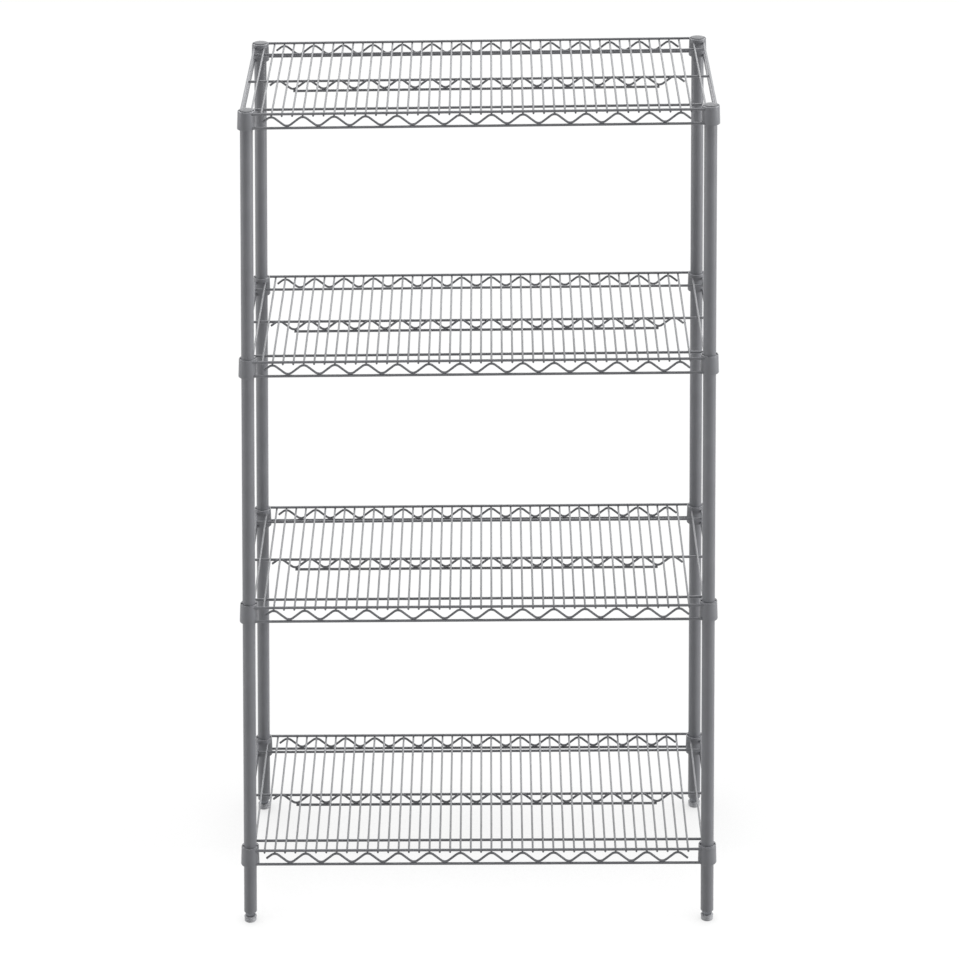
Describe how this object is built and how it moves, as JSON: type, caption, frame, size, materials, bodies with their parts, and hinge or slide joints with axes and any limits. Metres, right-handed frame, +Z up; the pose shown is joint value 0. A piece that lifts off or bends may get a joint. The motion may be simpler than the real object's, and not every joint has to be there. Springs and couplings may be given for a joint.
{
  "type": "wire shelving unit",
  "caption": "Freestanding open wire shelving unit: round posts on levelling feet carry welded wire shelves with wave-braced edges, wedged by tapered collars on split sleeves",
  "frame": {"origin": "middle of the footprint, on the floor", "axes": "+X to the right along the shelves seen from the front, +Y from front to back, +Z up"},
  "size_m": [0.9122, 0.4562, 1.5984],
  "materials": {
    "wire_epoxy": "grey epoxy powder coat on welded steel wire",
    "post_epoxy": "grey epoxy powder coat on steel tube",
    "sleeve_plastic": "dark moulded plastic",
    "cap_plastic": "grey moulded plastic",
    "plug_plastic": "dark moulded plastic",
    "stem_zinc": "zinc plated steel",
    "pad_plastic": "light grey moulded plastic"
  },
  "bodies": {
    "frame": {"post_front_left": "post_epoxy", "post_front_right": "post_epoxy", "post_back_left": "post_epoxy", "post_back_right": "post_epoxy", "cap_front_left": "cap_plastic", "cap_front_right": "cap_plastic", "cap_back_left": "cap_plastic", "cap_back_right": "cap_plastic", "foot_plug_front_left": "plug_plastic", "foot_plug_front_right": "plug_plastic", "foot_plug_back_left": "plug_plastic", "foot_plug_back_right": "plug_plastic", "sleeve_1_front_left": "sleeve_plastic", "sleeve_1_front_right": "sleeve_plastic", "sleeve_1_back_left": "sleeve_plastic", "sleeve_1_back_right": "sleeve_plastic", "sleeve_2_front_left": "sleeve_plastic", "sleeve_2_front_right": "sleeve_plastic", "sleeve_2_back_left": "sleeve_plastic", "sleeve_2_back_right": "sleeve_plastic", "sleeve_3_front_left": "sleeve_plastic", "sleeve_3_front_right": "sleeve_plastic", "sleeve_3_back_left": "sleeve_plastic", "sleeve_3_back_right": "sleeve_plastic", "sleeve_4_front_left": "sleeve_plastic", "sleeve_4_front_right": "sleeve_plastic", "sleeve_4_back_left": "sleeve_plastic", "sleeve_4_back_right": "sleeve_plastic"},
    "shelf_1": {"shelf_1_deck": "wire_epoxy", "shelf_1_front_truss": "wire_epoxy", "shelf_1_back_truss": "wire_epoxy", "shelf_1_centre_truss": "wire_epoxy", "shelf_1_left_rail": "wire_epoxy", "shelf_1_right_rail": "wire_epoxy"},
    "shelf_2": {"shelf_2_deck": "wire_epoxy", "shelf_2_front_truss": "wire_epoxy", "shelf_2_back_truss": "wire_epoxy", "shelf_2_centre_truss": "wire_epoxy", "shelf_2_left_rail": "wire_epoxy", "shelf_2_right_rail": "wire_epoxy"},
    "shelf_3": {"shelf_3_deck": "wire_epoxy", "shelf_3_front_truss": "wire_epoxy", "shelf_3_back_truss": "wire_epoxy", "shelf_3_centre_truss": "wire_epoxy", "shelf_3_left_rail": "wire_epoxy", "shelf_3_right_rail": "wire_epoxy"},
    "shelf_4": {"shelf_4_deck": "wire_epoxy", "shelf_4_front_truss": "wire_epoxy", "shelf_4_back_truss": "wire_epoxy", "shelf_4_centre_truss": "wire_epoxy", "shelf_4_left_rail": "wire_epoxy", "shelf_4_right_rail": "wire_epoxy"},
    "pad_front_left": {"leveller_pad_front_left": "pad_plastic"},
    "pad_front_right": {"leveller_pad_front_right": "pad_plastic"},
    "pad_back_left": {"leveller_pad_back_left": "pad_plastic"},
    "pad_back_right": {"leveller_pad_back_right": "pad_plastic"},
    "stem_front_left": {"leveller_stem_front_left": "stem_zinc"},
    "stem_front_right": {"leveller_stem_front_right": "stem_zinc"},
    "stem_back_left": {"leveller_stem_back_left": "stem_zinc"},
    "stem_back_right": {"leveller_stem_back_right": "stem_zinc"}
  },
  "joints": [
    {"name": "shelf_1_lift", "type": "slide", "parent": "frame", "child": "shelf_1", "axis": [0, 0, 1], "range_m": [0, 0.44]},
    {"name": "shelf_2_lift", "type": "slide", "parent": "frame", "child": "shelf_2", "axis": [0, 0, 1], "range_m": [0, 0.44]},
    {"name": "shelf_3_lift", "type": "slide", "parent": "frame", "child": "shelf_3", "axis": [0, 0, 1], "range_m": [0, 0.44]},
    {"name": "shelf_4_lift", "type": "slide", "parent": "frame", "child": "shelf_4", "axis": [0, 0, 1], "range_m": [0, 0.1]},
    {"name": "foot_front_left_slide", "type": "slide", "parent": "frame", "child": "pad_front_left", "axis": [0, 0, -1], "range_m": [0, 0.015]},
    {"name": "foot_front_right_slide", "type": "slide", "parent": "frame", "child": "pad_front_right", "axis": [0, 0, -1], "range_m": [0, 0.015]},
    {"name": "foot_back_left_slide", "type": "slide", "parent": "frame", "child": "pad_back_left", "axis": [0, 0, -1], "range_m": [0, 0.015]},
    {"name": "foot_back_right_slide", "type": "slide", "parent": "frame", "child": "pad_back_right", "axis": [0, 0, -1], "range_m": [0, 0.015]},
    {"name": "foot_front_left_turn", "type": "hinge", "parent": "pad_front_left", "child": "stem_front_left", "pos_m": [-0.4388, -0.2099, 0.0145], "axis": [0, 0, 1], "range_deg": [0, 3601]},
    {"name": "foot_front_right_turn", "type": "hinge", "parent": "pad_front_right", "child": "stem_front_right", "pos_m": [0.4388, -0.2099, 0.0145], "axis": [0, 0, 1], "range_deg": [0, 3601]},
    {"name": "foot_back_left_turn", "type": "hinge", "parent": "pad_back_left", "child": "stem_back_left", "pos_m": [-0.4388, 0.2099, 0.0145], "axis": [0, 0, 1], "range_deg": [0, 3601]},
    {"name": "foot_back_right_turn", "type": "hinge", "parent": "pad_back_right", "child": "stem_back_right", "pos_m": [0.4388, 0.2099, 0.0145], "axis": [0, 0, 1], "range_deg": [0, 3601]}
  ],
  "couplings": [
    {"joint": "foot_front_left_turn", "follows": "foot_front_left_slide", "rad_per_m": 4188.8},
    {"joint": "foot_front_right_turn", "follows": "foot_front_right_slide", "rad_per_m": 4188.8},
    {"joint": "foot_back_left_turn", "follows": "foot_back_left_slide", "rad_per_m": 4188.8},
    {"joint": "foot_back_right_turn", "follows": "foot_back_right_slide", "rad_per_m": 4188.8}
  ]
}
